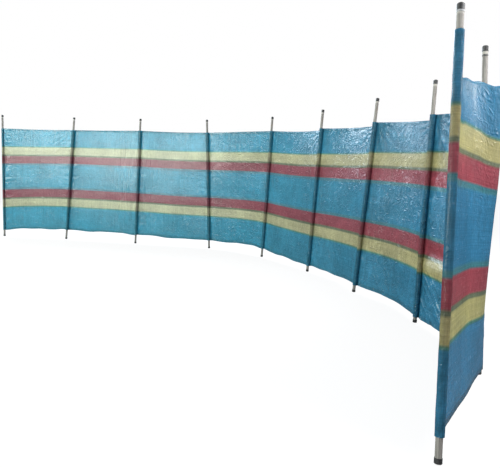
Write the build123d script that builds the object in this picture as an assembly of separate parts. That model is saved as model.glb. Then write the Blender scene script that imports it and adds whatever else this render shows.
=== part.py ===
"""Beach windbreak: ten wooden poles standing in the pockets of one striped cloth of nine bays.

Millimetres and degrees, +Z up.  The origin is the flat foot of pole 1, the first bays run along +X,
and the line of poles then curls round clockwise.  The pockets lie on the inside of that curl.
"""
from build123d import *
import os
from math import asin, cos, pi, radians, sin, sqrt, tan

os.makedirs("parts", exist_ok=True)

# ---------------------------------------------------------------- driving dimensions
POLE_LENGTH = 1200          # over both caps
POLE_DIAMETER = 19

CAP_WALL = 1.0
CAP_CLEARANCE = 0.15        # between the pole and the bore of a cap
TOP_CAP_HEIGHT = 20
TOP_CAP_FLOOR = 3.5         # plastic over the end of the pole
TOP_CAP_DOME = 3.0          # rise of the crown above its shoulder
TOP_CAP_CROWN = 7.0         # radius of the flat that is struck to drive the pole in
FOOT_CAP_HEIGHT = 15
FOOT_CAP_FLOOR = 3.0
FOOT_CAP_BEVEL = 1.5

CLOTH_HEIGHT = 1060         # as cut, hem to hem
CLOTH_THICKNESS = 2.0
HEM_HEIGHT = 22
HEM_EXTRA = 1.4             # the folded layer, on the inside
POCKET_WALL = 1.2
POCKET_CLEARANCE = 0.4      # between the pole and its pocket
SEAM_OFFSET = 15            # from the pole's axis to the line of stitching
SEAM_THICKNESS = 3.0        # the pinched cloth at the stitching
SEAM_GAP = 0.3              # between a bay and the seam that it is sewn into

# The way the windbreak is set out: the steps from foot to foot, and each pole's lean from upright.
FOOT_STEP = [642, 732, 746, 628, 700, 677, 670, 675, 736]
HEADING = [4.3, -1.3, -2.4, -29.7, -53.0, -62.0, -65.5, -79.0, -112.5]
LEAN_X = [0, 3.8, 1.1, -2.7, 2.3, 2.6, 3.4, 0.6, -3.7, 0.2]
LEAN_Y = [0, 0.9, 1.8, 0.5, -1.6, 0.0, -0.2, 0.4, 0.2, 9.0]
# How far up each pole the cloth starts, and how much of its height is rucked up on the pole.
CLOTH_START = [63, 92, 84, 74, 72, 44, 44, 28, 20, 68]
CLOTH_RUCK = [55, 75, 57, 53, 50, 38, 47, 52, 24, 0]
# How far each bay bellies outwards at its lower and upper hem, and how far the upper hem sags.
BELLY_LOW = [15, 15, 6, 45, 8, 40, 45, 25, 0]
BELLY_HIGH = [25, 25, 20, 20, 35, 45, 55, 75, 82]
TOP_SAG = [2, 0, 4, 0, 6, 2, 0, 14, 60]
# The share of a bay's length that the belly takes: the last bay folds out beside the pole before it.
BELLY_SPAN = [1, 1, 1, 1, 1, 1, 1, 1, 0.5]
BAY_PANELS = 4              # straight-ruled strips that make up the curve of a bay

# ---------------------------------------------------------------- sizes that follow
POLES = len(LEAN_X)
POLE_RADIUS = POLE_DIAMETER / 2
CAP_BORE = POLE_RADIUS + CAP_CLEARANCE
CAP_RADIUS = CAP_BORE + CAP_WALL
POCKET_BORE = POLE_RADIUS + POCKET_CLEARANCE
POCKET_RADIUS = POCKET_BORE + POCKET_WALL
SEAM_RADIUS = SEAM_THICKNESS / 2
# Half the angle between the two flat flanks of a pocket, from its round part to the seam.
FLANK = asin((POCKET_RADIUS - SEAM_RADIUS) / SEAM_OFFSET)


def across(direction, axis):
    """The unit vector nearest to direction that is square to a pole's axis."""
    return (direction - axis * direction.dot(axis)).normalized()


def level(angle):
    """A level unit vector at an angle from +X."""
    return Vector(cos(radians(angle)), sin(radians(angle)), 0)


# ---------------------------------------------------------------- setting out
AXES = [Vector(tan(radians(a)), tan(radians(b)), 1).normalized() for a, b in zip(LEAN_X, LEAN_Y)]

FEET = []
spot = Vector(0, 0, 0)
for pole in range(POLES):
    tilt = sqrt(max(0, 1 - AXES[pole].Z ** 2))
    # A leaning pole stands on the rim of its foot.
    FEET.append(Vector(spot.X, spot.Y, (CAP_RADIUS - FOOT_CAP_BEVEL) * tilt))
    if pole < POLES - 1:
        spot = spot + level(HEADING[pole]) * FOOT_STEP[pole]


def seam_side(pole):
    """The level direction from a pole to its seam: outwards, or along the bay at the two ends."""
    if pole == 0:
        return level(HEADING[0])
    if pole == POLES - 1:
        return level(HEADING[-1] + 180)
    return level((HEADING[pole - 1] + HEADING[pole]) / 2 + 90)


def pole_plane(pole):
    """A plane square to the pole at its foot, with Y towards the seam."""
    seam = across(seam_side(pole), AXES[pole])
    return Plane(origin=FEET[pole], x_dir=seam.cross(AXES[pole]), z_dir=AXES[pole])


# ---------------------------------------------------------------- one pole and its caps
def dowel():
    """A round wooden pole, sawn square, between the floors of its two caps."""
    length = POLE_LENGTH - FOOT_CAP_FLOOR - TOP_CAP_FLOOR
    return Pos(0, 0, FOOT_CAP_FLOOR) * Cylinder(
        POLE_RADIUS, length, align=(Align.CENTER, Align.CENTER, Align.MIN))


def top_cap():
    """A thin moulded cup over the top of the pole, with straight sides and a sloping crown."""
    mouth = POLE_LENGTH - TOP_CAP_HEIGHT
    shoulder = POLE_LENGTH - TOP_CAP_DOME
    inside = POLE_LENGTH - TOP_CAP_FLOOR
    outline = Polyline(
        (0, POLE_LENGTH), (0, inside), (CAP_BORE, inside), (CAP_BORE, mouth),
        (CAP_RADIUS, mouth), (CAP_RADIUS, shoulder), (TOP_CAP_CROWN, POLE_LENGTH), close=True)
    return revolve(Plane.XZ * make_face(outline), Axis.Z)


def foot_cap():
    """A shallow cup over the foot of the pole, flat underneath with a bevelled rim."""
    outline = Polyline(
        (0, 0), (CAP_RADIUS - FOOT_CAP_BEVEL, 0), (CAP_RADIUS, FOOT_CAP_BEVEL),
        (CAP_RADIUS, FOOT_CAP_HEIGHT), (CAP_BORE, FOOT_CAP_HEIGHT), (CAP_BORE, FOOT_CAP_FLOOR),
        (0, FOOT_CAP_FLOOR), close=True)
    return revolve(Plane.XZ * make_face(outline), Axis.Z)


# ---------------------------------------------------------------- the cloth
def pocket(pole):
    """The tuck of cloth round a pole: a round tube with two flat flanks drawn in to the seam."""
    tangent = [
        (POCKET_RADIUS * cos(FLANK), POCKET_RADIUS * sin(FLANK)),
        (SEAM_RADIUS * cos(FLANK), SEAM_OFFSET + SEAM_RADIUS * sin(FLANK)),
    ]
    flanks = Polygon(
        *tangent, *[(-x, y) for x, y in reversed(tangent)], align=None)
    section = Circle(POCKET_RADIUS) + flanks + Pos(0, SEAM_OFFSET) * Circle(SEAM_RADIUS)
    section -= Circle(POCKET_BORE)
    sleeve = extrude(section, CLOTH_HEIGHT - CLOTH_RUCK[pole])
    return Pos(0, 0, CLOTH_START[pole]) * sleeve


def bay_end(pole, side):
    """Where a bay is sewn in: a point level with the foot, and the way its thickness lies.

    side is 1 for the bay that leaves the pole and -1 for the one that arrives at it.
    """
    plane = pole_plane(pole)
    if pole in (0, POLES - 1):
        reach = SEAM_OFFSET + SEAM_RADIUS + SEAM_GAP
        outwards = -plane.x_dir if side == 1 else plane.x_dir
        return plane.origin + plane.y_dir * reach, outwards
    inner = CLOTH_THICKNESS / 2 + HEM_EXTRA
    flank = (SEAM_RADIUS + inner * sin(FLANK)) / cos(FLANK) + SEAM_GAP
    return plane.origin + plane.y_dir * SEAM_OFFSET + plane.x_dir * side * flank, plane.y_dir


def strip(low, high, outwards):
    """The cloth cut through from its lower to its upper edge, with both hems folded inside."""
    rise = (high - low).normalized()
    face = across(outwards, rise)
    plane = Plane(origin=low, x_dir=face, z_dir=face.cross(rise))
    tall = (high - low).length
    out = CLOTH_THICKNESS / 2
    fold = -out - HEM_EXTRA
    return plane * Polygon(
        (out, 0), (out, tall), (fold, tall), (fold, tall - HEM_HEIGHT), (-out, tall - HEM_HEIGHT),
        (-out, HEM_HEIGHT), (fold, HEM_HEIGHT), (fold, 0), align=None)


def bay(number):
    """One bay of cloth: a strip from hem to hem, lofted along its belly and its sag."""
    start, start_face = bay_end(number, 1)
    end, end_face = bay_end(number + 1, -1)
    low, high = [], []
    for pole, foot in ((number, start), (number + 1, end)):
        low.append(foot + AXES[pole] * CLOTH_START[pole])
        high.append(foot + AXES[pole] * (CLOTH_START[pole] + CLOTH_HEIGHT - CLOTH_RUCK[pole]))
    outwards = level(HEADING[number] + 90)
    sections = []
    for station in range(BAY_PANELS + 1):
        along = station / BAY_PANELS
        belly = sin(pi * min(1, along / BELLY_SPAN[number]))
        sag = sin(pi * along)
        foot = low[0] + (low[1] - low[0]) * along + outwards * BELLY_LOW[number] * belly
        head = high[0] + (high[1] - high[0]) * along + outwards * BELLY_HIGH[number] * belly
        head = head - Vector(0, 0, TOP_SAG[number] * sag)
        face = start_face if along == 0 else end_face if along == 1 else outwards
        sections.append(strip(foot, head, face))
    return loft(sections, ruled=True)


# ---------------------------------------------------------------- the windbreak
STICK = dowel()
CAPS = top_cap() + foot_cap()

for pole in range(POLES):
    place = Location(pole_plane(pole))
    name = f"{pole + 1:02d}"
    export_step(place * STICK, f"parts/pole_{name}.step")
    export_step(place * CAPS, f"parts/end_caps_{name}.step")
    export_step(place * pocket(pole), f"parts/pocket_{name}.step")

for number in range(POLES - 1):
    export_step(bay(number), f"parts/bay_{number + 1}.step")
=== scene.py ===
# %% [markdown]
# # A beach windbreak
# Ten capped wooden poles stand in the sewn pockets of one long cloth of striped, woven
# polyethylene.  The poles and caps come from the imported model, which is never moved here.
# The cloth is made here, bay by bay and pocket by pocket, and every surface gets its finish.
# A cloth simulation could hang the cloth, but it gives soft drapes, and this coated cloth is stiff
# and pulled flat.  So each piece is put straight into its shape, and the unevenness is added.

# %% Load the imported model
from math import pi, radians

import bpy
import numpy as np
from mathutils import Matrix, Vector


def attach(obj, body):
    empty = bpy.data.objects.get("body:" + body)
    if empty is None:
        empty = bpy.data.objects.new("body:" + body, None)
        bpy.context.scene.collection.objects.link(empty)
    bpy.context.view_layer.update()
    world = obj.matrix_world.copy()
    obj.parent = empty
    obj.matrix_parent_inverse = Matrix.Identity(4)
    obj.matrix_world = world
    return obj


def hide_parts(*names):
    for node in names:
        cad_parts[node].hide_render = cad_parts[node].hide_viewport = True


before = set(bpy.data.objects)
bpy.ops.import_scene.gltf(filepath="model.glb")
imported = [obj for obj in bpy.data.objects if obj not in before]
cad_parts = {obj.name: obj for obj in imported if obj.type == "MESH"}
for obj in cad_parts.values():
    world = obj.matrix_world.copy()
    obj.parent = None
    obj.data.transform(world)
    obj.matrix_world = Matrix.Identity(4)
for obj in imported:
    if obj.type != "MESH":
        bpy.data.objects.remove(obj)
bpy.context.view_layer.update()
POLES = sorted(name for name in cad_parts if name.startswith("pole_"))
print("poles", len(POLES), "bays", len(POLES) - 1)

# %% [markdown]
# The camera is inside the curl, as high as the eyes of someone who sits on the sand, a little above
# the middle of the cloth.  It looks slightly down, and it is tipped two degrees, as a camera held
# by hand often is.  A Track To constraint could aim it, but three turns one after the other, round,
# down and tipped, are easier to read and to adjust.

# %% Camera
CAMERA_PLACE = Vector((3.214, -4.717, 0.719))
CAMERA_TURN = radians(8.54)
CAMERA_DIP = radians(6.72)
CAMERA_TIP = radians(2.16)
LENS = 36.97  # mm
SENSOR = 36  # mm wide

camera = bpy.data.objects.new("camera", bpy.data.cameras.new("camera"))
bpy.context.scene.collection.objects.link(camera)
camera.data.lens = LENS
camera.data.sensor_width = SENSOR
camera.matrix_world = (
    Matrix.Translation(CAMERA_PLACE)
    @ Matrix.Rotation(CAMERA_TURN, 4, "Z")
    @ Matrix.Rotation(pi / 2 - CAMERA_DIP, 4, "X")
    @ Matrix.Rotation(CAMERA_TIP, 4, "Z"))
bpy.context.scene.camera = camera
print("camera", [round(x, 2) for x in CAMERA_PLACE])

# %% [markdown]
# Colours are written as the hex codes a paint chart gives, and one function turns them into the
# linear light that Blender works in.  Another adds a node, with its settings and with what feeds
# it, and a third starts a material with no nodes.  Every material below is made with these three.

# %% Three helpers for materials
def linear(code):
    """The linear colour of an sRGB hex code."""
    channels = [int(code[at:at + 2], 16) / 255 for at in (1, 3, 5)]
    return tuple(c / 12.92 if c <= 0.04045 else ((c + 0.055) / 1.055) ** 2.4
                 for c in channels) + (1.0,)


def add(tree, kind, feeds=(), **settings):
    """Add a node: feeds gives its inputs values, outputs, or nodes for their first output."""
    new = tree.nodes.new(kind)
    for key, value in settings.items():
        setattr(new, key, value)
    for key, value in dict(feeds).items():
        if isinstance(value, bpy.types.Node):
            value = value.outputs[0]
        if isinstance(value, bpy.types.NodeSocket):
            tree.links.new(value, new.inputs[key])
        else:
            new.inputs[key].default_value = value
    return new


def blank_material(name):
    """A new material with no nodes, and its node tree."""
    material = bpy.data.materials.new(name)
    material.use_nodes = True
    material.node_tree.nodes.clear()
    return material, material.node_tree


print("#808080 is", round(linear("#808080")[0], 3), "of full light")

# %% [markdown]
# ## Light
# The background is white.  A white world could light the object as well, but it would wash out
# its colours.  So only the camera sees the world as white.  The object gets a dimmer world with a
# little blue in it, brighter overhead than underneath, as daylight in the shade is.

# %% World
WORLD_ABOVE = 0.62  # the world's level overhead
WORLD_BELOW = 0.20  # and underneath
WORLD_FADE = 0.6  # how steeply up or down a ray points where that level is reached
DAY = (0.92, 0.94, 1.0)  # the colour of the light that the world gives
WHITE = (1.0, 1.0, 1.0)

scene = bpy.context.scene
scene.view_settings.view_transform = "Standard"
world = bpy.data.worlds.new("white_studio")
scene.world = world
world.use_nodes = True
tree = world.node_tree
tree.nodes.clear()
seen = add(tree, "ShaderNodeLightPath").outputs["Is Camera Ray"]
way = add(tree, "ShaderNodeTexCoord")
height = add(tree, "ShaderNodeSeparateXYZ", {0: way.outputs["Generated"]})
dome = add(tree, "ShaderNodeMapRange", {
    0: height.outputs[2], 1: -WORLD_FADE, 2: WORLD_FADE, 3: WORLD_BELOW, 4: WORLD_ABOVE})
level = add(tree, "ShaderNodeMapRange", {0: seen, 3: dome, 4: 1.0})
tint = add(tree, "ShaderNodeMix", {0: seen, 6: DAY + (1,), 7: WHITE + (1,)}, data_type="RGBA")
sky = add(tree, "ShaderNodeBackground", {"Color": tint.outputs[2], "Strength": level})
add(tree, "ShaderNodeOutputWorld", {"Surface": sky})
print("world from", WORLD_BELOW, "to", WORLD_ABOVE)

# %% [markdown]
# Eight soft rectangular lamps shape the cloth.  The wide softbox, on the camera's side, reads the
# colours of the first bays, and the side lamp rakes down over them from the left.  The front lamp
# lifts the bays that curl towards the camera.  Two lamps stand outside the last bay: fill lights
# it, and sheen is mirrored in its film.  The other three are behind the cloth and stand for the
# sky: the ceiling lamp glows through the first bays, and the window and the skylight are mirrored
# in the glossy creases of the curled ones.  Small lamps would be easier to place, but their
# mirror images would be dots and their shadows hard.

# %% Lamps
SOFT = (0.92, 1.0, 0.93)  # the colour of a white softbox, a little green
SKY = (0.77, 0.89, 1.0)  # and of open sky
LAMPS = [  # name, place, what it points at, watts, width and height, colour
    ("softbox", (-2.6, -5.2, 1.7), (0.6, -0.5, 1.3), 380, (6.2, 1.2), SOFT),
    ("side", (-3.0, -2.8, 2.8), (1.6, -0.2, 0.0), 130, (1.3, 1.0), SOFT),
    ("front", (3.6, -6.4, 1.6), (3.6, -2.2, 0.7), 20, (2.0, 1.2), WHITE),
    ("fill", (4.35, -3.35, 2.0), (3.67, -3.08, 1.0), 38, (0.9, 0.5), WHITE),
    ("sheen", (5.7, -2.2, 1.7), (3.67, -3.08, 0.9), 24, (1.0, 0.7), WHITE),
    ("ceiling", (2.1, 1.0, 2.3), (2.2, -0.3, 0.7), 165, (5.0, 0.5), SKY),
    ("window", (-3.2, 3.3, 2.6), (3.6, -2.0, 0.8), 135, (0.8, 1.8), SKY),
    ("skylight", (-0.4, 3.2, 2.5), (3.75, -2.4, 0.5), 80, (1.2, 0.8), SKY)]


def lamp(name, place, target, watts, size, colour):
    """A rectangular lamp at place that points at target and that the camera doesn't see."""
    made = bpy.data.objects.new(name, bpy.data.lights.new(name, "AREA"))
    scene.collection.objects.link(made)
    made.data.energy = watts
    made.data.shape = "RECTANGLE"
    made.data.size, made.data.size_y = size
    made.data.color = colour
    aim = Vector(target) - Vector(place)
    made.matrix_world = Matrix.Translation(place) @ aim.to_track_quat("-Z", "Y").to_matrix().to_4x4()
    made.visible_camera = False


for row in LAMPS:
    lamp(*row)

# %% [markdown]
# The floor is plain and pale.  For the camera it is mostly a white that glows by itself, so that
# it runs into the background, and the rest is plain white paint, which keeps the soft shadow.
# To the light it is darker, so that it doesn't light the cloth from below.

# %% Floor
FLOOR_SIDE = 60
FLOOR_GLOW = 0.88  # the share that is plain white to the camera
FLOOR_PAINT = 0.9  # how pale the rest is to the camera
FLOOR_BOUNCE = 0.2  # how much of the light it throws back

bpy.ops.object.select_all(action="DESELECT")
bpy.ops.mesh.primitive_plane_add(size=FLOOR_SIDE)
floor = bpy.context.object
floor.name = "floor"
paper, tree = blank_material("white_paper")
seen = add(tree, "ShaderNodeLightPath").outputs["Is Camera Ray"]
share = add(tree, "ShaderNodeMath", {0: seen, 1: FLOOR_GLOW}, operation="MULTIPLY")
paint = add(tree, "ShaderNodeMapRange", {0: seen, 3: FLOOR_BOUNCE, 4: FLOOR_PAINT})
matt = add(tree, "ShaderNodeBsdfDiffuse", {"Color": paint})
glow = add(tree, "ShaderNodeEmission", {"Color": WHITE + (1,), "Strength": 1.0})
mix = add(tree, "ShaderNodeMixShader", {0: share, 1: matt, 2: glow})
add(tree, "ShaderNodeOutputMaterial", {"Surface": mix})
floor.data.materials.append(paper)
print("floor", FLOOR_SIDE, "m square")

# %% [markdown]
# ## The cloth's finish
# Windbreak cloth is woven from flat polyethylene tapes about 2.5 mm wide and coated with a thin
# clear film.  That gives the eye a fine basket weave, a soft gloss broken up by sharp little
# creases, and a glow where light comes through from behind.  An image could carry all this, but
# noise and sums are sharp from close by and need no file.  They follow the cloth by its UV map,
# which holds metres on the flat cloth, so that each size is the real one.
#
# The stripes are woven in, so their borders are narrow bands where tapes of two colours mix.  One
# ramp of colours down the cloth holds them all.  The first bays get a painted sheen: a second ramp
# of paler, whiter colours, and the cloth goes over from one to the other along its length.

# %% Stripes
CUT_HEIGHT = 1.060  # hem to hem
BLEND = 0.007  # how much two bands run into each other
STRIPES = [  # where each band ends, from the top down, in shares of the height
    ("blue", 0.183), ("leaf", 0.192), ("yellow", 0.268), ("moss", 0.284), ("red", 0.359),
    ("slate", 0.380), ("blue", 0.599), ("slate", 0.618), ("red", 0.695), ("moss", 0.711),
    ("yellow", 0.781), ("leaf", 0.791), ("blue", 1.0)]
THREADS = {"blue": "#4d98bb", "leaf": "#6a9e8e", "yellow": "#cdc194", "moss": "#868d76",
           "red": "#ba616e", "slate": "#5b9aa5"}
# Painted sheen: paler, whiter colours for the first bays, which stand in more light and are veiled by
# their gloss.
PAINTED_SHEEN_THREADS = {"blue": "#58abc1", "leaf": "#73a79a", "yellow": "#cdc8b2", "moss": "#8a9280",
            "red": "#a56673", "slate": "#6f9fb0"}
PAINTED_SHEEN_TO = 2.6  # metres along the cloth up to which the painted sheen is full
PAINTED_SHEEN_GONE_FROM = 6.6  # and from which there is none of it


def striped(tree, flat):
    """The colour of the stripes for a UV map in metres, with a painted sheen on the first bays."""
    split = add(tree, "ShaderNodeSeparateXYZ", {0: flat})
    fall = add(tree, "ShaderNodeMapRange", {0: split.outputs[1], 1: CUT_HEIGHT, 2: 0.0})
    shades = []
    for threads in (PAINTED_SHEEN_THREADS, THREADS):
        ramp = add(tree, "ShaderNodeValToRGB", {0: fall})
        stops = ramp.color_ramp.elements
        stops[0].color = linear(threads[STRIPES[0][0]])
        stops[1].color = linear(threads[STRIPES[-1][0]])
        for (above, border), (below, _) in zip(STRIPES, STRIPES[1:]):
            stops.new(border - BLEND / 2).color = linear(threads[above])
            stops.new(border + BLEND / 2).color = linear(threads[below])
        shades.append(ramp)
    # the painted sheen fades out along the cloth
    second_share = add(tree, "ShaderNodeMapRange", {0: split.outputs[0], 1: PAINTED_SHEEN_TO, 2: PAINTED_SHEEN_GONE_FROM})
    return add(tree, "ShaderNodeMix", {0: second_share, 6: shades[0], 7: shades[1]},
               data_type="RGBA").outputs[2]


print("bands", len(STRIPES), "of", len(THREADS), "thread colours")

# %% [markdown]
# The seams and hems are sewn with dark thread.  Thousands of stitches could be modelled, but at
# this size they are a dashed line, so they are drawn.  A place is on a stitch if it is within half
# a thread's width of the line of stitching, and if it is in the first part of a stitch's length.
# The distance from the seam comes with each piece, as an attribute.

# %% Stitches
STITCH = 0.0034  # from one stitch to the next
STITCH_SHOWS = 0.7  # the share of that on which the thread lies on top
THREAD = 0.0007  # width of the sewing thread
SEAM_STITCHES = 0.006  # from the seam to its line of stitches
HEM_STITCHES = 0.018  # from the edge of the cloth to its line of stitches


def stitched(tree, flat):
    """1 on the stitches of the seams and hems, else 0."""
    split = add(tree, "ShaderNodeSeparateXYZ", {0: flat})
    seam = add(tree, "ShaderNodeAttribute", attribute_name="from_seam")
    lines = [  # what is measured, where the line lies, which way it runs
        (seam.outputs["Fac"], SEAM_STITCHES, split.outputs[1]),
        (split.outputs[1], HEM_STITCHES, split.outputs[0]),
        (split.outputs[1], CUT_HEIGHT - HEM_STITCHES, split.outputs[0])]
    rows = []
    for away, line, run in lines:
        near = add(tree, "ShaderNodeMath", {0: away, 1: line, 2: THREAD / 2}, operation="COMPARE")
        beat = add(tree, "ShaderNodeMath", {0: run, 1: STITCH, 2: 0.0}, operation="WRAP")
        on = add(tree, "ShaderNodeMath", {0: beat, 1: STITCH * STITCH_SHOWS}, operation="LESS_THAN")
        rows.append(add(tree, "ShaderNodeMath", {0: near, 1: on}, operation="MULTIPLY"))
    two = add(tree, "ShaderNodeMath", {0: rows[0], 1: rows[1]}, operation="MAXIMUM")
    return add(tree, "ShaderNodeMath", {0: two, 1: rows[2]}, operation="MAXIMUM")


print("stitches from hem to hem", round(CUT_HEIGHT / STITCH))

# %% [markdown]
# Wind crumples the film into sharp creases about 33 mm apart, with pimples of about 10 mm between
# them.  Voronoi cells could draw them, but their edges are too straight.  Both are noise: a ridged
# one, bent along itself, for the creases, and a plain one for the pimples.

# %% Creases and pimples
CREASES = 30.0  # to a metre
PIMPLES = 95.0


def wrinkles(tree, flat):
    """The heights of the coated film: its creases and its pimples."""
    crease = add(tree, "ShaderNodeTexNoise", {
        "Vector": flat, "Scale": CREASES, "Detail": 5.0, "Roughness": 0.62, "Distortion": 1.6},
        noise_type="RIDGED_MULTIFRACTAL", noise_dimensions="2D")
    fine = add(tree, "ShaderNodeTexNoise", {
        "Vector": flat, "Scale": PIMPLES, "Detail": 4.0, "Roughness": 0.6, "Distortion": 0.8},
        noise_dimensions="2D")
    return crease, fine


print("creases", round(1000 / CREASES), "mm apart, pimples", round(1000 / PIMPLES, 1))

# %% [markdown]
# No two tapes took the dye alike, so the colour runs in fine streaks both ways, one or two tapes
# wide, over soft patches of about 200 mm.  Dirt makes blots of 15 to 30 mm.  Painted shade darkens
# the cloth where it is hollow on the inside of the curl, and painted light brightens its ridges.
# The attribute relief says how far out it lies.

# %% Uneven dye, blots and painted shade
FADED = 5.0  # patches to a metre
STREAKS = 260  # to a metre, across the tapes
STREAKS_ALONG = 2.5  # and along them
DYE = {1: 1.0, 2: 2.0, 3: 0.70, 4: 1.24}  # the sum of patch and streaks, to how light it is
BLOTS = (62, 34, 1)  # to a metre, along and up
BLOT = {1: 0.25, 2: 0.75, 3: 0.84, 4: 1.16}  # the noise, to how light it is
FOLD_SHADE = {1: -2.0, 2: 3.0, 3: 1.10, 4: 0.72}  # mm out, to how light the painted shade and light leave it


def dyed(tree, flat):
    """How light the dye is."""
    fade = add(tree, "ShaderNodeTexNoise", {"Vector": flat, "Scale": FADED, "Detail": 4.0})
    long_way = add(tree, "ShaderNodeMapping", {0: flat, "Scale": (STREAKS_ALONG, STREAKS, 1)})
    up_way = add(tree, "ShaderNodeMapping", {0: flat, "Scale": (STREAKS, STREAKS_ALONG, 1)})
    weft = add(tree, "ShaderNodeTexNoise", {"Vector": long_way, "Scale": 1.0})
    warp = add(tree, "ShaderNodeTexNoise", {"Vector": up_way, "Scale": 1.0})
    tapes = add(tree, "ShaderNodeMath", {0: weft, 1: warp})
    shade = add(tree, "ShaderNodeMath", {0: fade, 1: tapes})
    return add(tree, "ShaderNodeMapRange", {0: shade} | DYE)


def blots_and_fold_shade(tree, flat, relief):
    """How light the blots, and the painted shade and light of the relief, leave the cloth."""
    spread_out = add(tree, "ShaderNodeMapping", {0: flat, "Scale": BLOTS})
    blot = add(tree, "ShaderNodeTexNoise", {
        "Vector": spread_out, "Scale": 1.0, "Detail": 3.0, "Roughness": 0.65, "Distortion": 1.2})
    blots = add(tree, "ShaderNodeMapRange", {0: blot} | BLOT)
    # painted shade in the hollows and painted light on the ridges, from the relief
    fold_shade = add(tree, "ShaderNodeMapRange", {0: relief} | FOLD_SHADE)
    return add(tree, "ShaderNodeMath", {0: fold_shade, 1: blots}, operation="MULTIPLY")


print("streaks", round(1000 / STREAKS, 1), "mm wide and", round(1000 / STREAKS_ALONG), "mm long")

# %% [markdown]
# Ridges that stand out on the inside of the curl get a painted highlight, and each sharp crease has
# a chalky line where its film has cracked.  The thread of the stitches is laid over all of it.

# %% Worn colour and painted highlights
RIDGE_HIGHLIGHT = {1: -1.0, 2: -3.6, 3: 0.0, 4: 0.6}  # mm out, to how strong the painted highlight is
CRACKED = {1: 1.1, 2: 2.2, 3: 0.0, 4: 0.15}  # height of the crease, to how chalky it is
# the colour of the cracks and of the painted highlights on the ridges
CHALK_AND_HIGHLIGHT = "#dfe8ea"
SEWING_THREAD = "#26485f"


def wear_and_painted_light(tree, flat, crease, sewn):
    """The colour of the cloth with its blots, its painted shade and highlights, its chalky cracks and
    its stitches.
    """
    relief = add(tree, "ShaderNodeAttribute", attribute_name="relief").outputs["Fac"]
    light = add(tree, "ShaderNodeMath", {0: dyed(tree, flat), 1: blots_and_fold_shade(tree, flat, relief)},
                operation="MULTIPLY")
    dye_dirt_and_shade = add(tree, "ShaderNodeMix", {0: 1.0, 6: striped(tree, flat), 7: light},
               data_type="RGBA", blend_type="MULTIPLY")
    # a painted highlight on the ridges that stand in towards the inside of the curl
    ridge_highlight = add(tree, "ShaderNodeMapRange", {0: relief} | RIDGE_HIGHLIGHT)
    cracked = add(tree, "ShaderNodeMapRange", {0: crease} | CRACKED)
    pale = add(tree, "ShaderNodeMath", {0: ridge_highlight, 1: cracked})
    chalked = add(tree, "ShaderNodeMix", {
        0: pale, 6: dye_dirt_and_shade.outputs[2], 7: linear(CHALK_AND_HIGHLIGHT)}, data_type="RGBA")
    return add(tree, "ShaderNodeMix", {0: sewn, 6: chalked.outputs[2], 7: linear(SEWING_THREAD)},
               data_type="RGBA").outputs[2]


print("chalk", CHALK_AND_HIGHLIGHT, "thread", SEWING_THREAD)

# %% [markdown]
# The smallest heights could be modelled too, but tapes of 2.5 mm on six metres of cloth would be
# millions of faces.  So they are bumps, one on top of the other: weave, stitches, pimples, creases.
# Where the film is pulled smooth it has less of the last two, by the attribute slack.

# %% Surface of the film
TAPE = 0.0025  # width of one woven tape
WEAVE_HIGH = 0.0002  # how far each kind of bump stands out
STITCH_HIGH = 0.0005
PIMPLE_HIGH = 0.0010
CREASE_HIGH = 0.0032


def bumpy(tree, flat, crease, fine, sewn):
    """The direction in which the film faces."""
    checks = add(tree, "ShaderNodeMapping", {0: flat, "Scale": (1 / TAPE, 1 / TAPE, 1)})
    weave = add(tree, "ShaderNodeTexChecker", {"Vector": checks, "Scale": 1.0})
    woven = add(tree, "ShaderNodeBump", {
        "Strength": 0.4, "Distance": WEAVE_HIGH, "Height": weave.outputs[1]})
    raised = add(tree, "ShaderNodeBump", {
        "Strength": 1.0, "Distance": STITCH_HIGH, "Height": sewn, "Normal": woven})
    slack = add(tree, "ShaderNodeAttribute", attribute_name="slack").outputs["Fac"]
    pimpled = add(tree, "ShaderNodeBump", {
        "Strength": slack, "Distance": PIMPLE_HIGH, "Height": fine, "Normal": raised})
    return add(tree, "ShaderNodeBump", {
        "Strength": slack, "Distance": CREASE_HIGH, "Height": crease, "Normal": pimpled})


print("tapes from hem to hem", round(CUT_HEIGHT / TAPE))

# %% [markdown]
# The material has two parts.  The skin is glossy plastic, 1.51 being the IOR of polyethylene, and
# its gloss varies with the pimples.  The other part lets light through from behind, with a little
# green in it.  A glass-like transmission would show what stands behind, and woven tapes only glow.
# The pockets are the same cloth, but slack and rubbed by their poles, so they shine less.

# %% Woven polyethylene
FILM_GLOSS = {1: 0.3, 2: 0.7, 3: 0.11, 4: 0.28}  # the pimples' noise, to the roughness
POLYETHYLENE_IOR = 1.51
LET_THROUGH = "#f2fff6"  # the tint of the light that comes through


def woven_cloth(name, through, shine):
    """Striped, coated cloth: through is the share of it that lets light pass."""
    material, tree = blank_material(name)
    flat = add(tree, "ShaderNodeUVMap", uv_map="cut")
    crease, fine = wrinkles(tree, flat)
    sewn = stitched(tree, flat)
    colour = wear_and_painted_light(tree, flat, crease, sewn)
    facing = bumpy(tree, flat, crease, fine, sewn)
    gloss = add(tree, "ShaderNodeMapRange", {0: fine} | FILM_GLOSS)
    skin = add(tree, "ShaderNodeBsdfPrincipled", {
        "Base Color": colour, "Roughness": gloss, "IOR": POLYETHYLENE_IOR,
        "Specular IOR Level": shine, "Normal": facing})
    lit = add(tree, "ShaderNodeMix", {0: 1.0, 6: colour, 7: linear(LET_THROUGH)},
              data_type="RGBA", blend_type="MULTIPLY")
    back = add(tree, "ShaderNodeBsdfTranslucent", {"Color": lit.outputs[2], "Normal": facing})
    both = add(tree, "ShaderNodeMixShader", {0: through, 1: skin, 2: back})
    add(tree, "ShaderNodeOutputMaterial", {"Surface": both})
    return material


CLOTH = woven_cloth("woven_polyethylene", through=0.6, shine=1.0)
SLEEVE_CLOTH = woven_cloth("woven_polyethylene_pocket", through=0.73, shine=0.5)
print("nodes in the cloth", len(CLOTH.node_tree.nodes))

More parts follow.
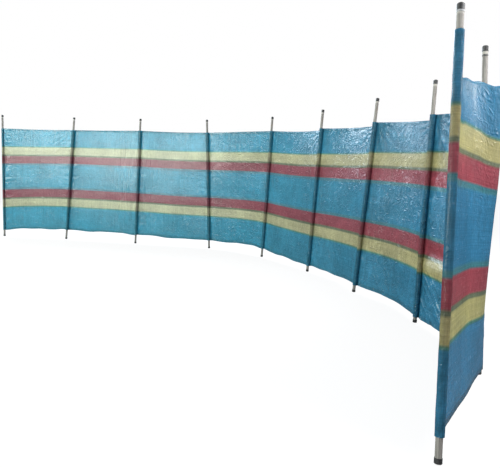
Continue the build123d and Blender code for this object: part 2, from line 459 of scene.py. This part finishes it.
# %% [markdown]
# ## Where the cloth is held
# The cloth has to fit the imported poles.  Their places could be written down again here, but then a
# change in the model would tear the cloth off them.  So each pole's line is read from its mesh, and
# so is the side on which its pocket is sewn and how far up the pole the pocket reaches.  The pocket
# is shorter than the cloth, which is rucked up there.

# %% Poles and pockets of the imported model
RUCK_HIGH = 1.5  # how far the rucks push the middle of the cloth up the pole


def corner_points(name):
    """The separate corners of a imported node's mesh."""
    corners = np.array([corner.co[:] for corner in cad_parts[name].data.vertices])
    return np.unique(corners.round(6), axis=0)


class Held:
    """A pole's line, the unit vectors from it to its seam and across, and its pocket's ends."""

    def __init__(self, number):
        ends = corner_points(f"pole_{number:02d}")
        middle = (ends[:, 2].min() + ends[:, 2].max()) / 2
        self.foot = ends[ends[:, 2] < middle].mean(0)
        self.head = ends[ends[:, 2] > middle].mean(0)
        self.up = (self.head - self.foot) / np.linalg.norm(self.head - self.foot)
        tuck = corner_points(f"pocket_{number:02d}") - self.foot
        heights = tuck @ self.up
        aside = tuck - np.outer(heights, self.up)
        far = aside[np.argmax(np.linalg.norm(aside, axis=1))]
        self.seam = far / np.linalg.norm(far)
        self.walk = np.cross(self.seam, self.up)
        self.low, self.high = heights.min(), heights.max()

    def up_to(self, share):
        """The points of the pole's line beside shares of the cloth's height."""
        rise = self.high - self.low
        ruck = (CUT_HEIGHT - rise) * RUCK_HIGH * share * (1 - share)
        return self.foot + (self.low + rise * share + ruck)[..., None] * self.up


HELD = {number: Held(number) for number in range(1, len(POLES) + 1)}
for number, held in HELD.items():
    print("pocket", number, "from", round(held.low, 3), "to", round(held.high, 3), "m up its pole")

# %% [markdown]
# ## Unevenness
# Three kinds of relief make the cloth.  Hills are soft and round, creases are the sharp lines of
# crumpled film, and a fan is the set of folds that runs out from a corner that pulls.  A Displace
# modifier could do the first two, but not a fan, and sums in code do all three.  Hills are made
# from random slopes at the corners of a grid, with a smooth passage in between.

# %% Hills, creases and fans
LATTICE = 64  # corners of the grid of slopes, after which it repeats


def hills(across, up, seed):
    """Smooth noise between about -1 and 1, one hill or dip to each unit of its two inputs."""
    turns = np.random.default_rng(seed).uniform(0, 2 * pi, (LATTICE, LATTICE))
    left, under = np.floor(across).astype(int), np.floor(up).astype(int)
    total = 0
    for right, above in ((0, 0), (0, 1), (1, 0), (1, 1)):
        angle = turns[(left + right) % LATTICE, (under + above) % LATTICE]
        x, y = across - left - right, up - under - above
        fade = [1 - abs(t) ** 3 * (10 - 15 * abs(t) + 6 * t ** 2) for t in (x, y)]
        total = total + (np.cos(angle) * x + np.sin(angle) * y) * fade[0] * fade[1]
    return 1.4 * total


def creases(across, up, seed):
    """Crumpled film: near 1 along sharp creases and lower in the dips between them."""
    bend = 0.6 * hills(across, up, seed)
    total = 0
    for octave in (1.0, 2.1, 4.3):
        ridge = 1 - 2.2 * abs(hills(across * octave + bend, up * octave - bend, seed + 1))
        total = total + ridge / octave
    return total / 1.7


def fan(across, up, folds, reach):
    """Wandering folds that run out from a corner, for places across and up from it in metres."""
    away = np.hypot(across, up)
    angle = np.arctan2(up, across)
    wander = 1.5 * hills(away / 0.12, angle * 3, 5)
    return np.sin(angle * folds + wander) * away / (away + 0.03) * np.exp(-(away / reach) ** 2)


print("a hill is", hills(np.array([0.5]), np.array([0.5]), 3).round(2), "high at its side")

# %% [markdown]
# ## Cloth pieces
# Every piece starts as a flat grid of squares, and each corner of the grid is moved to its place.
# That way the grid can carry the UV map in metres on the flat cloth, and the marks that the finish
# reads.  The cloth is thin, but a sheet with no thickness has no edge to see and no inside, so
# Solidify gives it one at the end.

# %% A piece of cloth from its places
FILM = 0.0008  # thickness of the modelled cloth, thicker than the real one, to show
SMOOTH_TO = radians(50)  # faces that meet at less than this are shaded as one


def spread(mesh, columns, rows):
    """Which column and row of the grid each corner of the mesh is."""
    flat = np.zeros(len(mesh.vertices) * 3)
    mesh.vertices.foreach_get("co", flat)
    flat = flat.reshape(-1, 3)
    column = np.rint((flat[:, 0] + 0.5) * (columns - 1)).astype(int)
    row = np.rint((flat[:, 1] + 0.5) * (rows - 1)).astype(int)
    return column, row


def cloth_piece(name, places, cut, marks, finish):
    """A closed sheet through places[column, row]; cut holds metres on the flat cloth.

    marks are values for the finish: the distance from the seam in metres, the relief in mm and
    how slack the film is, from 0 to 1.
    """
    columns, rows = places.shape[:2]
    bpy.ops.object.select_all(action="DESELECT")
    bpy.ops.mesh.primitive_grid_add(x_subdivisions=columns - 1, y_subdivisions=rows - 1, size=1)
    piece = bpy.context.object
    piece.name = name
    mesh = piece.data
    mesh.name = name
    at = spread(mesh, columns, rows)
    mesh.vertices.foreach_set("co", places[at].ravel())
    for key, values in marks.items():
        mark = mesh.attributes.new(key, "FLOAT", "POINT")
        mark.data.foreach_set("value", values[at].astype(np.float32))
    corner = np.zeros(len(mesh.loops), dtype=int)
    mesh.loops.foreach_get("vertex_index", corner)
    mesh.uv_layers[0].name = "cut"
    mesh.uv_layers["cut"].uv.foreach_set("vector", cut[at][corner].ravel())
    mesh.update()
    thick = piece.modifiers.new("thickness", "SOLIDIFY")
    thick.thickness = FILM
    thick.offset = 0
    bpy.ops.object.modifier_apply(modifier=thick.name)
    bpy.ops.object.shade_smooth_by_angle(angle=SMOOTH_TO)
    mesh.materials.append(finish)
    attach(piece, "root")
    return piece


print("cloth", FILM * 1000, "mm thick")

# %% [markdown]
# Many shapes below are drawn as a curve through a few measured points, as one would bend a batten
# through pegs.  The curve has to pass through them all without a corner.

# %% A smooth line through points
def through(points, at):
    """A smooth line through a few points, by cubic pieces with their neighbours' slopes."""
    x, y = np.array(points, dtype=float).T
    slope = np.gradient(y, x)
    piece = np.clip(np.searchsorted(x, at, side="right") - 1, 0, len(x) - 2)
    wide = x[piece + 1] - x[piece]
    t = (at - x[piece]) / wide
    return ((1 + 2 * t) * (1 - t) ** 2 * y[piece] + t * (1 - t) ** 2 * wide * slope[piece]
            + t ** 2 * (3 - 2 * t) * y[piece + 1] + t ** 2 * (t - 1) * wide * slope[piece + 1])


print("half way up a bend is", round(float(through([(0, 0), (1, 1), (2, 0)], 0.5)), 3))

# %% [markdown]
# ## Pockets
# A pocket is a tuck of the cloth round its pole: snug in front, wide at its sides, and drawn
# together at the stitching behind.  It is a little slack, so it puckers here and there.  A tube
# could be extruded and displaced, but the stitching would pucker too.  Here each place gives way by
# how far it is from the stitching.

# %% Outline of a pocket
SEAM_OUT = 0.015  # from the pole's axis to the stitching, where the bays leave
TUCKED = [  # half of a pocket's outline in mm: across, and towards the stitching
    (0.7, 12.2), (4.5, 11.8), (9.5, 9.8), (12.6, 4.6), (11.8, -2.6), (7.2, -9.0), (0, -11.2)]
COLUMNS = 40


def pocket_outline():
    """Across and towards the stitching, in metres, for each column of a pocket."""
    half = np.array(TUCKED) / 1000
    whole = np.concatenate([half * (-1, 1), half[-2::-1]])
    steps = np.arange(len(whole))
    at = np.linspace(0, steps[-1], COLUMNS)
    both = [through(np.stack([steps, whole[:, axis]], axis=1), at) for axis in (0, 1)]
    return np.stack(both, axis=1)


print("a pocket is", round(float(np.ptp(pocket_outline()[:, 0])) * 1000, 1), "mm across")

# %% [markdown]
# The film is pulled smooth on the first bays, which stand in line, and crumpled on the curled ones.
# The last bay is smoother again.  Pockets and bays share one long flat cloth, so a pocket's UV map
# starts where the bay after it does.

# %% Pockets round the poles
FILM_SLACK = [  # metres along the flat cloth, and how slack the film is
    (2.6, 0.30), (3.8, 1.0), (6.7, 1.0), (6.85, 0.45)]
BAY_ALONG = 0.75  # from the start of one bay to that of the next, on the flat cloth
END_SLEEVE = 0.93  # how large the pockets of the two end poles are to the others
SLEEVE_OPEN = 0.16  # how much wider a pocket is at its top
SLEEVE_SLACK = 0.05  # how much the sides stand off, and how far the puckers go
PUCKER_MARK = -1.5  # mm of relief that a pucker has, which the finish turns into painted light and shade
POCKET_STEP = 0.010  # the grid's spacing up a pocket


def slackness(cut):
    """How slack the film is at places on the flat cloth, from 0 to 1."""
    return np.interp(cut[..., 0], *np.array(FILM_SLACK).T)


def pocket_places(number):
    """Places, flat cloth, marks and girth of the pocket of one pole."""
    held = HELD[number]
    at_end = number in (1, len(POLES))
    outline = pocket_outline() * (END_SLEEVE if at_end else 1)
    step = np.linalg.norm(np.diff(outline, axis=0), axis=1)
    length = np.concatenate([[0], np.cumsum(step)])[:, None]
    share = np.linspace(0, 1, int((held.high - held.low) / POCKET_STEP) + 1)[None, :]
    slack = np.clip((SEAM_OUT - outline[:, 1:]) / SEAM_OUT, 0, 1)
    pucker = hills(length / 0.02, share * 24, number)
    pucker = pucker + 0.7 * hills(length / 0.03, share * 60, number + 20)
    grow = 1 + slack * SLEEVE_SLACK * (1 + pucker)
    wider = grow * (1 if at_end else 1 + SLEEVE_OPEN * share ** 2)
    places = (held.up_to(share) + held.walk * (outline[:, None, :1] * wider[..., None])
              + held.seam * (outline[:, None, 1:] * grow[..., None]))
    cut = np.stack(np.broadcast_arrays(number * BAY_ALONG + length, CUT_HEIGHT * share), axis=-1)
    marks = {"from_seam": np.broadcast_to(np.minimum(length, length[-1] - length), cut.shape[:2]),
             "relief": PUCKER_MARK * slack * pucker, "slack": slackness(cut)}
    return places, cut, marks, float(length[-1, 0])


for number in HELD:
    places, cut, marks, girth = pocket_places(number)
    piece = cloth_piece(f"pocket_cloth_{number:02d}", places, cut, marks, SLEEVE_CLOTH)
    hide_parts(f"pocket_{number:02d}")
print("girth of a pocket", round(girth * 1000), "mm")

# %% [markdown]
# ## Bays
# A bay hangs between two lines of stitching.  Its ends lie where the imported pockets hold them, the
# middle bellies outwards, and the hems sag or ride up by the amounts below, in mm.  Where a bay's
# upper corner has slipped, only its top is let down.  The last bay has slipped so far that its
# upper hem has points of its own.

# %% Smooth shape of the bays
BELLY_LOW = [15, 15, 6, 45, 8, 40, 45, 25, 0]
BELLY_HIGH = [25, 25, 20, 20, 35, 45, 55, 75, 0]
TOP_SAG = [2, 0, 4, -2, 6, 2, 0, 14, 0]
BOTTOM_SAG = [-10, 2, 4, -4, 8, 4, 2, 5, -4]
END_DROP = [0, 0, 0, 0, 12, 20, 24, 20, 0]
SCALLOP = [9, 9, 9, 9, 9, 9, 9, 9, 3]  # how unevenly the lower hem hangs

# The last bay's upper hem, at shares of its length: how far it stands out, how far it is down,
# and how far its very top has slipped.
LAST_OUT = [(0, 0), (0.08, 38), (0.16, 68), (0.25, 80), (0.33, 62), (0.42, 22), (0.48, 1),
            (0.58, -13), (0.68, -19), (0.80, -16), (0.90, -9), (1, 0)]
LAST_SAG = [(0, 0), (0.08, 12), (0.16, 28), (0.25, 42), (0.31, 46), (0.38, 35), (0.44, 12),
            (0.50, 9), (0.58, 10), (0.80, 12), (0.90, 10), (1, 0)]
LAST_SLIP = [(0, 0), (0.28, 0), (0.33, 5), (0.38, 18), (0.43, 20), (0.48, 5), (0.52, 0),
             (0.58, 0), (0.62, 0), (0.66, 6), (0.72, 44), (0.80, 74), (0.90, 52), (1, 0)]
LAST_FROM = 0.4  # share of the height above which the last bay sags


def hung(number, along, up):
    """The smooth shape of a bay, and the level direction out of it, before any crumple."""
    start, end = HELD[number], HELD[number + 1]
    leave = start.up_to(up) + start.seam * SEAM_OUT
    reach = end.up_to(up) + end.seam * SEAM_OUT - leave
    level = reach * (1, 1, 0)
    level /= np.linalg.norm(level, axis=-1, keepdims=True)
    outwards = np.stack([-level[..., 1], level[..., 0], level[..., 0] * 0], axis=-1)
    bow = np.sin(pi * along)
    belly = (BELLY_LOW[number - 1] * (1 - up) + BELLY_HIGH[number - 1] * up) * bow
    sag = (TOP_SAG[number - 1] * up + BOTTOM_SAG[number - 1] * (1 - up)) * bow
    sag = sag + END_DROP[number - 1] * along * up ** 10
    uneven = hills(along * 4, up * 0 + 0.5, number) * np.minimum(1, 8 * bow)
    sag = sag + SCALLOP[number - 1] * uneven * (1 - up) ** 8
    if number == len(POLES) - 1:
        upper = np.clip((up - LAST_FROM) / (1 - LAST_FROM), 0, 1)
        stand = through(LAST_OUT, along)
        belly = belly + stand * np.where(stand > 0, up, upper)
        sag = sag + through(LAST_SAG, along) * upper ** 1.7
        sag = sag + through(LAST_SLIP, along) * up ** 9
    places = leave + reach * along[..., None] + outwards * belly[..., None] / 1000
    places[..., 2] -= sag / 1000
    return places, outwards


print("deepest belly", max(BELLY_HIGH), "mm, deepest sag", max(sag for _, sag in LAST_SAG), "mm")

# %% [markdown]
# The top of the last bay has flopped over to the inside.  A bend modifier would turn its whole
# width alike.  Here the rows above the turn are carried on round a small radius and down in front
# of the rest, each column by its own length, and the squares keep their size.

# %% The flopped top
LAST_FLOP = [(0, 0), (0.2, 0), (0.35, 0), (0.38, 2), (0.42, 18), (0.48, 50), (0.58, 56),
             (0.66, 62), (0.72, 30), (0.78, 0), (1, 0)]  # share of the length, mm turned over
FLOP_ROUND = 0.009  # radius of the turn
FLOP_LEANS = 0.25  # how much the flopped part stands off as it hangs


def flopped(places, outwards, along, up):
    """Turn the top of the last bay over to the inside, where it hangs in front of the rest."""
    long = through(LAST_FLOP, along) / 1000
    over = CUT_HEIGHT * (up - 1) + long
    turn = np.clip(over / FLOP_ROUND, 0, pi)
    hang = np.clip(over - pi * FLOP_ROUND, 0, None)
    back = np.where(over > 0, -over + FLOP_ROUND * np.sin(turn) - hang, 0)
    inward = np.where(over > 0, FLOP_ROUND * (1 - np.cos(turn)) + FLOP_LEANS * hang, 0)
    places = places - outwards * inward[..., None]
    places[..., 2] += back
    return places


print("turned over by", max(over for _, over in LAST_FLOP), "mm at most")

# %% [markdown]
# The crumple is added to the smooth shape.  It is strongest on the bays that bend most.  Folds are
# slack cloth in narrow ridges that lean one way, a fan starts from a corner where the cloth is
# pulled, a dent is a place that has been crushed, and a tilt is a patch that is pulled taut at
# another angle.  They could be sculpted by hand, but a list of what lies where can be changed.

# %% What lies where on the bays
CRUMPLE = [0.5, 0.5, 0.7, 1.1, 1.1, 1.6, 1.8, 2.4, 0.6]  # mm
BILLOW = [3, 3, 3, 4, 4, 5, 5, 6, 3]  # mm
FOLDS = [  # bay, centre along and up, lean, reach along and up in m, mm
    (1, 0.84, 0.82, 38, 0.12, 0.10, 1.5), (2, 0.82, 0.55, 90, 0.15, 0.42, 3.0),
    (3, 0.12, 0.60, 90, 0.10, 0.40, 2.0), (5, 0.85, 0.60, 90, 0.12, 0.40, 1.5),
    (6, 0.93, 0.92, 84, 0.08, 0.12, 2.5), (7, 0.20, 0.45, 90, 0.16, 0.40, 1.6),
    (8, 0.20, 0.12, -38, 0.17, 0.14, 6.0), (8, 0.10, 0.42, -60, 0.10, 0.10, 3.5),
    (4, 0.15, 0.85, 70, 0.12, 0.12, 1.2), (9, 0.30, 0.90, 60, 0.16, 0.14, 1.2)]
FANS = [  # bay, its corner as shares along and up, number of folds, reach, mm
    (1, 1.0, 1.0, 22, 0.22, 0.9), (5, 1.0, 1.0, 20, 0.16, 2.0), (6, 1.0, 1.0, 22, 0.20, 3.0),
    (7, 1.0, 1.0, 22, 0.20, 3.2), (7, 0.0, 1.0, 18, 0.25, 2.0), (8, 0.0, 1.0, 20, 0.25, 2.5),
    (9, 1.0, 1.0, 12, 0.16, 3.0)]
DENTS = [  # bay, centre as shares along and up, reach, mm
    (6, 0.90, 0.95, 0.10, 4.0), (7, 0.90, 0.96, 0.10, 4.5), (8, 0.12, 0.31, 0.10, 3.5),
    (8, 0.10, 0.85, 0.16, 2.4), (7, 0.75, 0.66, 0.16, 1.8), (4, 0.45, 0.85, 0.20, 1.0),
    (6, 0.60, 0.15, 0.14, 2.0), (7, 0.50, 0.12, 0.16, 2.0)]
TILTS = [  # bay, centre along and up, reach along and up in m, mm out along and up
    (8, 0.19, 0.285, 0.13, 0.060, 5, 20), (9, 0.86, 0.90, 0.09, 0.09, -8, -6)]
print("folds", len(FOLDS), "fans", len(FANS), "dents", len(DENTS), "tilts", len(TILTS))

# %% Crumple of the bays
GATHER = 3  # mm, how deep the gathers beside a line of stitching are
PULLED_FLAT = 0.8  # the share of the crumple that a tilt takes out


def tilted(number, x, y, wide):
    """How far out a bay is pulled where it is taut and tilted, in mm, and how taut it is there."""
    out, taut = 0 * x, 0 * x
    for bay, at_x, at_y, reach_x, reach_y, rise_x, rise_y in TILTS:
        if bay == number:
            right, above = (x - at_x * wide) / reach_x, (y - at_y * CUT_HEIGHT) / reach_y
            fades = np.exp(-right ** 4 - above ** 4)
            out = out + (rise_x * right + rise_y * above) * fades
            taut = np.maximum(taut, fades)
    return out, taut


def folded(number, x, y, wide):
    """How far out the folds of a bay stand, in mm."""
    relief = 0 * x
    for bay, at_x, at_y, lean, reach_x, reach_y, depth in FOLDS:
        if bay == number:
            right, above = x - at_x * wide, y - at_y * CUT_HEIGHT
            turn = radians(lean)
            run = right * np.cos(turn) + above * np.sin(turn)
            side = above * np.cos(turn) - right * np.sin(turn)
            fades = np.exp(-(right / reach_x) ** 2 - (above / reach_y) ** 2)
            relief = relief + depth * fades * hills(side / 0.013, run / 0.16, number + 60)
    return relief


def crumpled(number, along, up, wide):
    """How far out the cloth of a bay lies, in mm, by its creases and its billows, and its slack."""
    x, y = along * wide, up * CUT_HEIGHT
    relief = CRUMPLE[number - 1] * (creases(x / 0.07, y / 0.08, number * 7) - 0.4)
    relief = relief + folded(number, x, y, wide)
    billow = BILLOW[number - 1] * hills(x / 0.26, y / 0.30, number + 40)
    for bay, at_x, at_y, folds, reach, depth in FANS:
        if bay == number:
            relief = relief + depth * fan(x - at_x * wide, y - at_y * CUT_HEIGHT, folds, reach)
    for bay, at_x, at_y, reach, depth in DENTS:
        if bay == number:
            away = np.hypot(x - at_x * wide, y - at_y * CUT_HEIGHT)
            relief = relief + depth * np.exp(-(away / reach) ** 2) * creases(x / 0.035, y / 0.030, 11)
    for away in (x, wide - x):
        relief = relief + GATHER * hills(away / 0.05, y / 0.028, number + 80) * np.exp(-away / 0.045)
    out, taut = tilted(number, x, y, wide)
    held = np.clip(np.minimum(x, wide - x) / 0.02, 0, 1)
    slack = 1 - PULLED_FLAT * taut
    return relief * slack * held, (billow + out) * held, slack


print("crumple from", min(CRUMPLE), "to", max(CRUMPLE), "mm")

# %% [markdown]
# Both long edges are hemmed: the cloth is folded to the inside and stitched.  A second strip
# could be laid on, but the edge would gape.  Here the rows of the grid run up the folded layer,
# round the edge and on, so a hem is one with its bay.

# %% Hems
HEM = 0.022  # how deep each hem is folded
HEM_TURN = 0.0013  # between the two layers of a hem
STEP_UP = 0.0088  # the grid's spacing up a bay
HEM_ROWS = round(HEM / STEP_UP)


def hemmed(places, cut, marks):
    """Add the folded layer of both hems, on the side that faces into the curl."""
    inside = np.cross(np.gradient(places, axis=0), np.gradient(places, axis=1))
    inside /= np.linalg.norm(inside, axis=-1, keepdims=True)
    layer = places + inside * HEM_TURN
    lip = places + inside * HEM_TURN / 2
    upward = places[:, 1] - places[:, 0]
    downward = places[:, -2] - places[:, -1]
    under = lip[:, 0] - upward * 0.1
    over = lip[:, -1] - downward * 0.1
    rows = [layer[:, HEM_ROWS:0:-1], under[:, None], places, over[:, None],
            layer[:, -2:-2 - HEM_ROWS:-1]]
    deep = cut[:, HEM_ROWS:0:-1].copy()
    deep[..., 1] *= -1
    high = cut[:, -2:-2 - HEM_ROWS:-1].copy()
    high[..., 1] = 2 * CUT_HEIGHT - high[..., 1]
    cuts = [deep, cut[:, :1], cut, cut[:, -1:], high]
    widened = {key: np.pad(values, ((0, 0), (HEM_ROWS + 1, HEM_ROWS + 1)), mode="edge")
               for key, values in marks.items()}
    return np.concatenate(rows, axis=1), np.concatenate(cuts, axis=1), widened


print("rows of squares in a hem", HEM_ROWS)

# %% [markdown]
# Where a bay leaves its pocket, the cloth turns sharply out of the stitching.  Six narrow columns
# follow that turn, and the rest are evenly spaced, because the creases need squares of one size.
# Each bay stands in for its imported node.

# %% Bays between the poles
STEP_ALONG = 0.005  # the grid's spacing along a bay
TUCK = 0.003  # radius of the turn from a bay into the stitching
TURN_COLUMNS = np.array([0, 0.1, 0.35, 0.7, 1.0, 1.6])  # from the stitching, in such radii
EVEN_FROM = 3  # and where the even columns start


def bay_places(number):
    """Places, flat cloth and marks of one bay."""
    wide = float(np.linalg.norm(HELD[number + 1].foot - HELD[number].foot))
    lead = TUCK / wide * TURN_COLUMNS
    margin = EVEN_FROM * TUCK / wide
    middle = np.linspace(margin, 1 - margin, int(wide / STEP_ALONG))
    along = np.concatenate([lead, middle, 1 - lead[::-1]])[:, None]
    up = np.linspace(0, 1, int(CUT_HEIGHT / STEP_UP) + 1)[None, :]
    along, up = np.broadcast_arrays(along, up)
    places, outwards = hung(number, along, up)
    relief, billow, slack = crumpled(number, along, up, wide)
    places = places + outwards * (relief + billow)[..., None] / 1000
    if number == len(POLES) - 1:
        places = flopped(places, outwards, along, up)
    for pole, away in ((number, along * wide), (number + 1, (1 - along) * wide)):
        if 1 < pole < len(POLES):
            inner = np.clip(TUCK - away, 0, TUCK)
            turn = TUCK - np.sqrt(TUCK ** 2 - inner ** 2)
            places = places - HELD[pole].seam * turn[..., None]
    cut = np.stack([number * BAY_ALONG + along * wide, CUT_HEIGHT * up], axis=-1)
    marks = {"from_seam": np.minimum(along, 1 - along) * wide, "relief": relief,
             "slack": slack * slackness(cut)}
    return hemmed(places, cut, marks)


for number in range(1, len(POLES)):
    places, cut, marks = bay_places(number)
    tall = CUT_HEIGHT * (1 + 2 * HEM_ROWS / int(CUT_HEIGHT / STEP_UP))
    piece = cloth_piece(f"bay_cloth_{number}", places, cut, marks, CLOTH)
    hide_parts(f"bay_{number}")

# %% [markdown]
# ## Poles and caps
# The poles are pine dowels that salt and sun have turned grey, with darker grain along them and
# a brown stain here and there.  Just under its cap a pole is still pale.  Wave Texture is often
# used for wood, but its lines are evenly spaced.  The grain of a thin dowel isn't, so it is noise,
# stretched along the pole.  Each pole leans its own way and has its own turned copy.

# %% Weathered pine
POLE_LENGTH = 1.2  # over both caps
GRAINS = 420.0  # to a metre round the pole, so about 2.4 mm wide
GRAIN_STRETCH = 0.03  # the share of them that is left along the pole
GRAIN_COLOURS = [(0.32, "#605d59"), (0.68, "#94908a")]  # where the noise reaches each
STAINS = 14.0  # to a metre, so about 70 mm across
STAINED = {1: 0.55, 2: 0.7, 3: 0.0, 4: 0.55}  # the stains' noise, to how brown
STAIN = "#8a735f"
FRESH_PINE = "#b2aea6"
PALE_FROM, PALE_TO = 0.036, 0.030  # below the pole's top, where the wood goes over to pale


def weathered_pine(name, held):
    """Grey pine whose grain runs along one pole."""
    material, tree = blank_material(name)
    place = add(tree, "ShaderNodeTexCoord")
    lean = Vector(held.up).to_track_quat("Z", "Y").to_euler()
    turned = add(tree, "ShaderNodeMapping", {
        0: place.outputs["Object"], "Location": held.foot, "Rotation": lean}, vector_type="TEXTURE")
    stretch = add(tree, "ShaderNodeMapping", {0: turned, "Scale": (1, 1, GRAIN_STRETCH)})
    grain = add(tree, "ShaderNodeTexNoise", {"Vector": stretch, "Scale": GRAINS, "Detail": 5.0})
    ramp = add(tree, "ShaderNodeValToRGB", {0: grain})
    for stop, (reached, code) in zip(ramp.color_ramp.elements, GRAIN_COLOURS):
        stop.position = reached
        stop.color = linear(code)
    stain = add(tree, "ShaderNodeTexNoise", {"Vector": turned, "Scale": STAINS, "Detail": 3.0})
    patch = add(tree, "ShaderNodeMapRange", {0: stain} | STAINED)
    warm = add(tree, "ShaderNodeMix", {0: patch, 6: ramp, 7: linear(STAIN)}, data_type="RGBA")
    height = add(tree, "ShaderNodeSeparateXYZ", {0: turned})
    second_share = add(tree, "ShaderNodeMapRange", {
        0: height.outputs[2], 1: POLE_LENGTH - PALE_FROM, 2: POLE_LENGTH - PALE_TO, 3: 0.0, 4: 0.7})
    wood = add(tree, "ShaderNodeMix", {
        0: second_share, 6: warm.outputs[2], 7: linear(FRESH_PINE)}, data_type="RGBA")
    bump = add(tree, "ShaderNodeBump", {"Strength": 0.6, "Distance": 0.0006, "Height": grain})
    skin = add(tree, "ShaderNodeBsdfPrincipled", {
        "Base Color": wood.outputs[2], "Roughness": 0.72, "Normal": bump})
    add(tree, "ShaderNodeOutputMaterial", {"Surface": skin})
    return material


for number, held in HELD.items():
    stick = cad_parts[f"pole_{number:02d}"]
    stick.data.materials.clear()
    stick.data.materials.append(weathered_pine(f"weathered_pine_{number:02d}", held))
print("poles of weathered pine", len(HELD))

# %% [markdown]
# The caps are moulded in black plastic.  Sand has scuffed them, which gives the eye a dull shine
# with grey specks.  Three noises could make colour, gloss and bumps, but one of about 3 mm drives
# them all, because a scuff is at once paler, rougher and raised by its burr.

# %% Moulded caps
SCUFFS = 300.0  # to a metre


def moulded(name, dark, pale):
    """Scuffed, slightly shiny plastic or rubber between two shades."""
    material, tree = blank_material(name)
    place = add(tree, "ShaderNodeTexCoord")
    scuff = add(tree, "ShaderNodeTexNoise", {
        "Vector": place.outputs["Object"], "Scale": SCUFFS, "Detail": 4.0})
    tone = add(tree, "ShaderNodeValToRGB", {0: scuff})
    for stop, (reached, code) in zip(tone.color_ramp.elements, ((0.4, dark), (0.75, pale))):
        stop.position = reached
        stop.color = linear(code)
    bump = add(tree, "ShaderNodeBump", {"Strength": 0.3, "Distance": 0.0003, "Height": scuff})
    gloss = add(tree, "ShaderNodeMapRange", {0: scuff, 3: 0.35, 4: 0.6})
    skin = add(tree, "ShaderNodeBsdfPrincipled", {
        "Base Color": tone, "Roughness": gloss, "Normal": bump})
    add(tree, "ShaderNodeOutputMaterial", {"Surface": skin})
    return material


CAP_PLASTIC = moulded("moulded_polythene", "#161617", "#333334")
for number in HELD:
    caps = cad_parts[f"end_caps_{number:02d}"]
    caps.data.materials.clear()
    caps.data.materials.append(CAP_PLASTIC)
print("pairs of caps", len(HELD))

# %% [markdown]
# The last two poles each have a narrow band of plastic pushed on under the cap, one pale and one
# dark.  A ring cut from a cylinder would have sharp edges, so each starts as a thin torus, which is
# stretched to its height, and then turned and moved on to the leaning pole.

# %% Rings under two of the caps
RINGS = [  # pole, its distance below the top of the pole, height, dark and pale
    (10, 0.0245, 0.008, "#8d8d8f", "#adadb0"), (9, 0.0365, 0.006, "#3c3c3c", "#5c5a57")]
RING_RADIUS = 0.00995  # to the middle of its wall
RING_WALL = 0.001


def ring(number, below, tall, finish):
    """A thin band that is pushed on to a pole, at a distance below the pole's top."""
    held = HELD[number]
    bpy.ops.object.select_all(action="DESELECT")
    bpy.ops.mesh.primitive_torus_add(major_segments=48, minor_segments=12, major_radius=RING_RADIUS,
                                     minor_radius=RING_WALL / 2)
    band = bpy.context.object
    band.name = f"ring_{number:02d}"
    stretch = Matrix.Diagonal((1, 1, tall / RING_WALL, 1))
    turn = Vector(held.up).to_track_quat("Z", "Y").to_matrix().to_4x4()
    spot = Vector(held.foot + held.up * (POLE_LENGTH - below))
    band.data.transform(Matrix.Translation(spot) @ turn @ stretch)
    bpy.ops.object.shade_smooth()
    band.data.materials.append(finish)
    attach(band, "root")
    return band


for number, below, tall, dark, pale in RINGS:
    band = ring(number, below, tall, moulded(f"ring_plastic_{number:02d}", dark, pale))
    print(band.name, "is", round(tall * 1000), "mm high")
